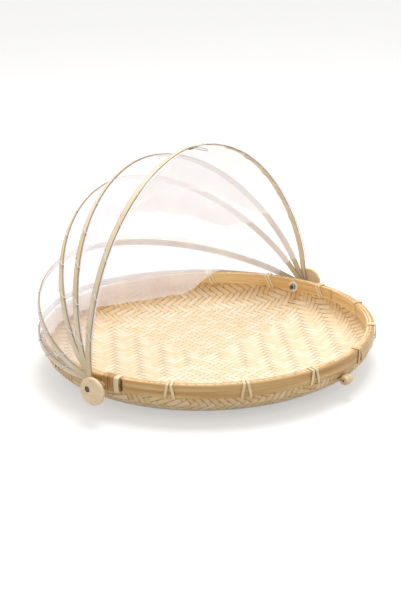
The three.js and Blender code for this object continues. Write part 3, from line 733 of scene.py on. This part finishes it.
# Net gores, with the fold of the slack cloth and small gathers
GORE_LENGTH_STEPS = 140
GORE_WIDTH_STEPS = 28
GATHER_DEPTH = 1.1 * mm
FINE_GATHERS = 36
BROAD_GATHERS = 15.3
GATHER_SLANT = 5


def open_from(index):
    """The turn at which a gore's two edges have come apart enough for it to start."""
    spread = math.radians(HOOP_ANGLES[index + 1] - HOOP_ANGLES[index])
    reach = max((NET_EDGE + NET_THICKNESS) / math.tan(spread / 2), NET_START)
    turn = 0
    while hoop_point(index, turn).y < reach:
        turn += TURN_STEP
    return turn


def gore_point(index, turn, share):
    """A place on the net, share of the way from the hoop behind to the hoop in front."""
    rear_angle, front_angle = (math.radians(HOOP_ANGLES[index + k]) for k in (0, 1))
    middle = (rear_angle + front_angle) / 2
    inset = -HOOP_THICKNESS / 2
    rear = swung(beside_hoop(index, turn, inset, NET_EDGE), rear_angle)
    front = swung(beside_hoop(index + 1, turn, inset, -NET_EDGE), front_angle)
    reach = hoop_point(index, turn).y
    chord = (front - rear).length
    cloth = FOLD_SLACK_SHARE * (reach * NET_TAUT_ANGLE - 2 * NET_EDGE)
    ease = smoothstep(reach, FOLD_START, FOLD_START + FOLD_EASE)
    lean = 1 + FOLD_LEAN_SHARE * math.cos(turn)
    depth = FOLD_DEPTH_SHARE * ease * lean * math.sqrt(max(cloth * cloth - chord * chord, 0))
    normal = hoop_normal(index, turn)
    inward = swung(Vector((-normal.x, -normal.y, 0)), middle)
    wave = math.sin(math.pi * share)
    point = rear.lerp(front, share) + inward * depth * wave**FOLD_ROUND_POWER
    point.z -= depth * ease * DROOP_SHARE * math.cos(middle) * wave**DROOP_POWER
    ripple = math.sin(FINE_GATHERS * turn + GATHER_SLANT * share) * math.sin(BROAD_GATHERS * turn + index)
    point += inward * GATHER_DEPTH * ripple * wave
    return point + Vector((0, 0, HINGE_HEIGHT))


def gore_surface(index):
    """Points of a gore in rows across it, their places on the flat cloth, and the faces."""
    start = open_from(index)
    points, uvs, faces = [], [], []
    along = 0
    last = None
    for r in range(GORE_LENGTH_STEPS + 1):
        turn = start + r / GORE_LENGTH_STEPS * (math.pi - 2 * start)
        row = [gore_point(index, turn, c / GORE_WIDTH_STEPS) for c in range(GORE_WIDTH_STEPS + 1)]
        along += (row[0] - last).length if last else 0
        last = row[0]
        across = 0
        for c, point in enumerate(row):
            across += (point - row[c - 1]).length if c else 0
            points.append(point)
            uvs.append((along, across))
    width = GORE_WIDTH_STEPS + 1
    for r in range(GORE_LENGTH_STEPS):
        for c in range(GORE_WIDTH_STEPS):
            corner = r * width + c
            faces.append((corner, corner + 1, corner + width + 1, corner + width))
    return points, uvs, faces


def gore(index, with_pieces=()):
    """The net between a hoop and the next one. with_pieces, the pieces of the same cloth, is not used."""
    points, uvs, faces = gore_surface(index)
    name = HOOP_NAMES[index + 1]
    made = mesh_object(f"net_{name}", points, faces, "net", uvs)
    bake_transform(made)
    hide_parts(f"net_gore_{name}")


# Lacing thread, pressed flat where it winds round each hoop
LACE_SIDES = 8
LACE_STEPS = 5
LACE_FLAT_WIDTH = 0.9 * mm


def ribbon(name, path, faces, width, thickness, sides, material):
    """A flattened tube; faces holds the way its flat side looks at each point of the path."""
    rings = []
    for k, point in enumerate(path):
        run = (path[min(k + 1, len(path) - 1)] - path[max(k - 1, 0)]).normalized()
        across = run.cross(faces[k]).normalized()
        up = across.cross(run)
        turns = [2 * math.pi * s / sides for s in range(sides)]
        rings.append([point + across * (width / 2 * math.cos(a)) + up * (thickness / 2 * math.sin(a))
                      for a in turns])
    return loft(name, rings, material)


def lacing(index):
    """A thread wound round a hoop: slantwise over its outer face and on along its inner one."""
    table = length_table(index)
    total = table[-1][1]
    wraps = int((total - 2 * NET_START) / LACE_PITCH)
    edge = HOOP_WIDTH / 2 + LACE_GAP + LACE_DIAMETER / 2
    face = HOOP_THICKNESS / 2 + LACE_GAP + LACE_DIAMETER / 2
    half = LACE_CROSSING / 2
    points, looks = [], []

    def lay(length, outward, forward, look_out, look_forward):
        turn = turn_at(table, length)
        points.append(in_frame(beside_hoop(index, turn, outward, forward), index))
        normal = hoop_normal(index, turn) * look_out
        looks.append(swung(Vector((normal.x, normal.y, look_forward)), math.radians(HOOP_ANGLES[index])))

    for k in range(wraps):
        middle = total / 2 + (k - (wraps - 1) / 2) * LACE_PITCH
        lay(middle - half - LACE_SIDE_RUN, -face, -edge, -1, -1)
        lay(middle - half, face, -edge, 1, -1)
        lay(middle, face, 0, 1, 0)
        lay(middle + half, face, edge, 1, 1)
        lay(middle + half + LACE_SIDE_RUN, -face, edge, -1, 1)
        if k < wraps - 1:
            lay(middle + LACE_PITCH / 2, -face, 0, -1, 0)
    name = HOOP_NAMES[index]
    made = ribbon(f"thread_{name}", smooth_path(points, LACE_STEPS), smooth_path(looks, LACE_STEPS),
                  LACE_FLAT_WIDTH, LACE_DIAMETER, LACE_SIDES, "thread")
    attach(made, f"{name}_frame")
    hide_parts(f"lacing_{name}")


for hoop_index in range(len(HOOP_NAMES)):
    lacing(hoop_index)


# The net runs on behind each hoop, between the strip and the inner stretches of its thread. It
# is gathered there, but lies smooth and sheer behind the front hoop
LINING_STEPS = 160
LINING_SETBACK = 0.32 * mm


def lining(index):
    """The strip of net behind a hoop."""
    table = length_table(index)
    run = table[-1][1] - 2 * NET_START
    inset = -HOOP_THICKNESS / 2 - LINING_SETBACK
    rear_edge = -HOOP_WIDTH / 2 if index == 0 else -NET_EDGE
    points, uvs, faces = [], [], []
    for k in range(LINING_STEPS + 1):
        length = NET_START + k / LINING_STEPS * run
        turn = turn_at(table, length)
        for forward in (rear_edge, NET_EDGE):
            points.append(in_frame(beside_hoop(index, turn, inset, forward), index))
            uvs.append((length, forward))
    for k in range(LINING_STEPS):
        corner = 2 * k
        faces.append((corner, corner + 1, corner + 3, corner + 2))
    name = HOOP_NAMES[index]
    cover = "sheer_net" if index == FRONT else "inner_net"
    made = mesh_object(f"net_behind_{name}", points, faces, cover, uvs)
    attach(made, f"{name}_frame")
    return made


# Hem along the front hoop: a narrow folded band with a slightly wavy free edge
HEM_STEPS = 160
HEM_THICKNESS = 0.7 * mm
HEM_WAVE = 0.35 * mm
HEM_WAVE_RUNS = (9 * mm, 31 * mm)
HEM_SIDES = 8


def hem(index):
    """The folded band of net along a hoop's front edge."""
    table = length_table(index)
    run = table[-1][1] - 2 * NET_START
    rings = []
    for k in range(HEM_STEPS + 1):
        length = k / HEM_STEPS * run
        turn = turn_at(table, NET_START + length)
        wave = HEM_WAVE * math.prod(math.sin(length / run_of_wave) for run_of_wave in HEM_WAVE_RUNS)
        section = []
        for side in range(HEM_SIDES):
            angle = 2 * math.pi * side / HEM_SIDES
            out = wave + HEM_THICKNESS / 2 * math.sin(angle)
            forward = NET_EDGE + HEM_WIDTH / 2 * (1 - math.cos(angle))
            section.append(in_frame(beside_hoop(index, turn, out, forward), index))
        rings.append(section)
    made = loft("front_hem", rings, "hem")
    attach(made, "front_frame")
    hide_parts("net_front_hem")
    return made


gore(0, with_pieces=[lining(0), lining(1)])
for gore_index in range(1, FRONT - 1):
    gore(gore_index, with_pieces=[lining(gore_index + 1)])
gore(FRONT - 1, with_pieces=[lining(FRONT), hem(FRONT)])


# Cane bindings: bands with a crowned face that bend round the corners of the rim
CANE_CORNERS = {
    "inner_foot": (INNER_STRIP_INNER - CANE_CLEAR, TRAY_HEIGHT - OUTER_STRIP_WIDTH - CANE_CLEAR, -1, -1),
    "inner_top": (INNER_STRIP_INNER - CANE_CLEAR, TRAY_HEIGHT + CANE_CLEAR, -1, 1),
    "outer_top": (RIM_RADIUS + CANE_CLEAR, TRAY_HEIGHT + CANE_CLEAR, 1, 1),
    "outer_foot": (RIM_RADIUS + CANE_CLEAR, TRAY_HEIGHT - OUTER_STRIP_WIDTH - CANE_CLEAR, 1, -1),
}
BAND_POINTS = 5
BEND_STEPS = 3
RUN_STEPS = 4
CANE_EDGE_THINNING = 0.5
INNER_BOW_SHARE = 0.3
OUTWARD, UPWARD, INWARD, DOWNWARD = 0, math.pi / 2, math.pi, -math.pi / 2


def band_section(angle, offset, width, place, face):
    """A crowned section of a cane band at a radius and height; face is the way it looks."""
    shares = [2 * k / (BAND_POINTS - 1) - 1 for k in range(BAND_POINTS)]
    half = CANE_THICKNESS / 2
    front = [(s, half * (1 - CANE_EDGE_THINNING * s * s) + CANE_CROWN * (1 - s * s)) for s in shares]
    back = [(s, -half) for s in reversed(shares)]
    turn = Matrix.Rotation(angle + offset / RIM_RADIUS, 3, "Z")
    section = []
    for s, out in front + back:
        radius, height = place + face * out
        section.append(turn @ Vector((radius, s * width / 2, height)))
    return section


def bend_centre(corner):
    radius, height, out, up = CANE_CORNERS[corner]
    return Vector((radius - out * CANE_BEND, height - up * CANE_BEND))


def stretch_look(corner, neighbour):
    """The way a band looks between two corners: up or down where it is level, else out or in."""
    _, height, out, up = CANE_CORNERS[corner]
    if CANE_CORNERS[neighbour][1] == height:
        return UPWARD if up > 0 else DOWNWARD
    return OUTWARD if out > 0 else INWARD


def band(name, angle, stops, width, bow, closed=False, material="cane"):
    """A band through (corner, offset) stops, bent at each corner and bowed outwards between."""
    rings = []
    count = len(stops)
    for k, (corner, offset) in enumerate(stops):
        last = stops[k - 1][0] if closed or k > 0 else None
        following, next_offset = stops[(k + 1) % count] if closed or k < count - 1 else (None, offset)
        look = stretch_look(corner, last or following)
        next_look = stretch_look(corner, following or last)
        sweep = (next_look - look + math.pi) % (2 * math.pi) - math.pi
        for step in range(BEND_STEPS + 1 if sweep else 1):
            turned = look + sweep * step / BEND_STEPS
            face = Vector((math.cos(turned), math.sin(turned)))
            rings.append(band_section(angle, offset, width, bend_centre(corner) + face * CANE_BEND, face))
        if following is None:
            continue
        start, end = (bend_centre(c) + face * CANE_BEND for c in (corner, following))
        run_bow = bow if next_look == OUTWARD else bow * INNER_BOW_SHARE
        for step in range(1, RUN_STEPS):
            share = step / RUN_STEPS
            place = start.lerp(end, share) + face * run_bow * math.sin(math.pi * share)
            rings.append(band_section(angle, offset + (next_offset - offset) * share, width, place, face))
    return loft(name, rings, material, closed)


def bind(made, node):
    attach(made, "tray")
    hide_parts(node)


def lashings():
    top = (LASHING_WIDTH + LASHING_TOP_GAP) / 2
    foot = LASHING_FOOT_SPREAD / 2
    tail = foot + LASHING_WIDTH + LASHING_TOP_GAP
    stops = [("inner_foot", -tail), ("inner_top", -top), ("outer_top", -top), ("outer_foot", -foot),
             ("inner_foot", -foot), ("inner_top", top), ("outer_top", top), ("outer_foot", foot),
             ("inner_foot", foot)]
    for place in range(1, LASHING_PLACES):
        angle = math.pi + place * 2 * math.pi / LASHING_PLACES
        made = band(f"lashing_{place:02}", angle, stops, LASHING_WIDTH, LASHING_BOW)
        bind(made, f"cane_lashing_{place:02}")


def wraps():
    for k, (offset, material) in enumerate(zip(WRAP_OFFSETS, WRAP_MATERIALS)):
        stops = [(corner, offset) for corner in CANE_CORNERS]
        made = band(f"wrap_{k + 1}", math.pi, stops, WRAP_WIDTH, WRAP_BOW, True, material)
        bind(made, f"splice_wrap_{k + 1}")


lashings()
wraps()


# Bead cord: through the bead and the tray wall, tied inside
CORD_SIDES = 10
CORD_TIE_REACH = 3 * mm
CORD_TIE_RISE = 1.2 * mm
CORD_BEND_SHARE = 0.45
CORD_BEND_STEPS = 4


def beside_wall(along, out, up):
    """A place off the tray's wall at the bead: along the rim, out of the wall and up its slope."""
    turn = math.acos(1 - BEAD_HEIGHT / WALL_RISE)
    wall_width = MAT_OUTER - FLAT_RADIUS
    foot = (FLAT_RADIUS + wall_width * math.sin(turn), WALL_RISE * (1 - math.cos(turn)))
    slope = Vector((wall_width * math.cos(turn), WALL_RISE * math.sin(turn))).normalized()
    radius = foot[0] + slope.y * out + slope.x * up
    place = Vector((along, -radius, foot[1] - slope.x * out + slope.y * up))
    return Matrix.Rotation(BEAD_TURN, 3, "Z") @ place


def bead_cord():
    out = SEAT_GAP + BEAD_RADIUS
    inside = -(MAT_THICKNESS + 2 * SEAT_GAP + CORD_DIAMETER / 2)
    hole = BEAD_LENGTH / 2 + SEAT_GAP + CORD_DIAMETER
    points = [
        beside_wall(-CORD_TIE_REACH, inside, CORD_TIE_RISE), beside_wall(hole, inside, 0),
        beside_wall(hole, out, 0), beside_wall(-hole, out, 0), beside_wall(-hole, inside, 0),
        beside_wall(CORD_TIE_REACH, inside, -CORD_TIE_RISE),
    ]
    path = [points[0]]
    for a, b, c in zip(points, points[1:], points[2:]):
        radius = min((a - b).length, (c - b).length) * CORD_BEND_SHARE
        start, end = b + (a - b).normalized() * radius, b + (c - b).normalized() * radius
        shares = [k / CORD_BEND_STEPS for k in range(CORD_BEND_STEPS + 1)]
        path += [start.lerp(b, t).lerp(b.lerp(end, t), t) for t in shares]
    path.append(points[-1])
    made = tube("bead_tie", path, CORD_DIAMETER / 2, CORD_SIDES, "cord")
    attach(made, "tray")
    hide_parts("bead_cord")


bead_cord()


# Tab and loop at the crown of the front hoop
TAB_START = NET_EDGE + HEM_WIDTH + SEAT_GAP
TAB_STEPS = 14
TAB_END_POWER = 8
LOOP_START = TAB_START + TAB_WIDTH + SEAT_GAP + CORD_DIAMETER / 2
LOOP_STEPS = 40


def crown_tab():
    crown = hoop_point(FRONT, math.pi / 2).y
    rings = []
    for k in range(TAB_STEPS + 1):
        along = -math.cos(math.pi * k / TAB_STEPS)
        swell = math.sqrt(max(1 - along**TAB_END_POWER, 0))
        ring = []
        for side in range(CORD_SIDES):
            angle = 2 * math.pi * side / CORD_SIDES
            out = swell * TAB_THICKNESS / 2 * math.sin(angle)
            forward = (TAB_WIDTH + swell * TAB_WIDTH * math.cos(angle)) / 2
            local = Vector(((along - 1) * TAB_LENGTH / 2, crown + out, TAB_START + forward))
            ring.append(in_frame(local, FRONT))
        rings.append(ring)
    tab = loft("crown_tab", rings, "tab")
    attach(tab, "front_frame")
    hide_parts("loop_tab")


def crown_loop():
    crown = hoop_point(FRONT, math.pi / 2).y
    path = []
    for k in range(LOOP_STEPS):
        angle = 2 * math.pi * k / LOOP_STEPS
        reach = (1 + math.sin(angle)) / 2
        along = (LOOP_WIDTH * math.cos(angle) - TAB_LENGTH) / 2
        local = Vector((along, crown - LOOP_DROOP * reach**2, LOOP_START + LOOP_LENGTH * reach))
        path.append(in_frame(local, FRONT))
    loop = tube("crown_loop", path, CORD_DIAMETER / 2, CORD_SIDES, "loop", closed=True)
    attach(loop, "front_frame")
    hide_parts("closing_loop")


crown_tab()
crown_loop()


# Solids that keep their shape, with their materials
SHARP_ANGLE = math.radians(32)
KEPT_NODES = {
    "woven_tray": "mat",
    "outer_rim_strip": "outer_strip",
    "inner_rim_strip": "inner_strip",
    "toggle_bead": "bead",
    "pivot_disc_left": "disc",
    "pivot_disc_right": "disc",
    "pivot_bolt_left": "dark_steel",
    "pivot_bolt_right": "dark_steel",
    "pivot_nut_left": "steel",
    "pivot_nut_right": "steel",
    "pivot_washer_left": "washer",
    "pivot_washer_right": "washer",
    **{f"hoop_{name}": f"hoop_{name}" for name in HOOP_NAMES},
}
for node_name, material_name in KEPT_NODES.items():
    node_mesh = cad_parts[node_name].data
    node_mesh.materials.clear()
    node_mesh.materials.append(MATERIALS[material_name])
    node_mesh.polygons.foreach_set("material_index", [0] * len(node_mesh.polygons))
    node_mesh.polygons.foreach_set("use_smooth", [True] * len(node_mesh.polygons))
    node_mesh.set_sharp_from_angle(angle=SHARP_ANGLE)


# Camera at the photograph's angle
def camera_axes():
    cos_up, sin_up = math.cos(CAMERA_ELEVATION), math.sin(CAMERA_ELEVATION)
    back = Vector((math.sin(CAMERA_AZIMUTH) * cos_up, -math.cos(CAMERA_AZIMUTH) * cos_up, sin_up))
    right = (-back).cross(Vector((0, 0, 1))).normalized()
    up = right.cross(-back)
    return right, up, back


def make_camera():
    right, up, back = camera_axes()
    rolled = right * math.cos(CAMERA_ROLL) + up * math.sin(CAMERA_ROLL)
    upright = up * math.cos(CAMERA_ROLL) - right * math.sin(CAMERA_ROLL)
    target = Vector((0, 0, TRAY_HEIGHT)) + right * LOOK_RIGHT + up * LOOK_UP
    data = bpy.data.cameras.new("photo_camera")
    data.lens = FOCAL_PIXELS * SENSOR_WIDTH / LONG_SIDE_PIXELS
    data.sensor_width = SENSOR_WIDTH
    data.shift_y = SHIFT_PIXELS / LONG_SIDE_PIXELS
    camera = bpy.data.objects.new("photo_camera", data)
    place = Matrix((rolled, upright, back)).transposed().to_4x4()
    place.translation = target + back * CAMERA_DISTANCE
    camera.matrix_world = place
    bpy.context.scene.collection.objects.link(camera)
    bpy.context.scene.camera = camera


# Soft light from above and a little behind the tray, and an even white surround. The light's
# place is given to the right of the tray's centre, towards the camera and up
FILL_STRENGTH = 0.72
FLOOR_GLOW = 0.46
KEY_PLACE = (100 * mm, -400 * mm, 1700 * mm)
KEY_SIZE = 900 * mm
KEY_POWER = 20
FLOOR_PATCH = 333 * mm
FLOOR_SIZE = 12000 * mm
FLOOR_ROUGHNESS = 0.7


def seen(add):
    """1 for rays that show the surround itself, in the picture, in gloss or through glass."""
    rays = add("LightPath").outputs
    reflected = add("Math", rays["Is Camera Ray"], rays["Is Glossy Ray"], operation="MAXIMUM")
    return add("Math", reflected, rays["Is Transmission Ray"], operation="MAXIMUM")


def make_floor():
    """A matt painted floor: pale and even, almost without shine, and brightened where it is seen."""
    material, add = new_material("matt_painted_floor")
    patch = add("TexNoise", add("TexCoord").outputs["Object"], 1 / FLOOR_PATCH, SOFT_DETAIL)
    colour = add("Mix", patch, srgb("c3c2c0"), srgb("bebdbb"), **COLOURS)
    glow = add("Math", seen(add), FLOOR_GLOW, operation="MULTIPLY")
    inputs = {"Base Color": colour, "Roughness": FLOOR_ROUGHNESS}
    finish_material(add, {**inputs, "Emission Color": srgb("ffffff"), "Emission Strength": glow})
    bpy.ops.mesh.primitive_plane_add(size=FLOOR_SIZE, location=(0, 0, 0))
    floor = bpy.context.object
    floor.name = "studio_floor"
    floor.data.materials.append(material)


def make_surround():
    world = bpy.data.worlds.new("studio_world")
    world.use_nodes = True
    world.node_tree.nodes.clear()
    add = partial(add_node, world.node_tree)
    strength = add("Math", seen(add), FILL_STRENGTH, operation="MAXIMUM")
    add("OutputWorld", add("Background", srgb("ffffff"), strength))
    bpy.context.scene.world = world


def make_key_light():
    right, _, back = camera_axes()
    place = right * KEY_PLACE[0] + back * KEY_PLACE[1] + Vector((0, 0, KEY_PLACE[2]))
    data = bpy.data.lights.new("key_light", "AREA")
    data.size = KEY_SIZE
    data.energy = KEY_POWER
    light = bpy.data.objects.new("key_light", data)
    light.location = place
    light.rotation_euler = (Vector((0, 0, TRAY_HEIGHT)) - place).to_track_quat("-Z", "Y").to_euler()
    bpy.context.scene.collection.objects.link(light)


make_camera()
make_floor()
make_surround()
make_key_light()
bpy.context.scene.view_settings.view_transform = "Standard"
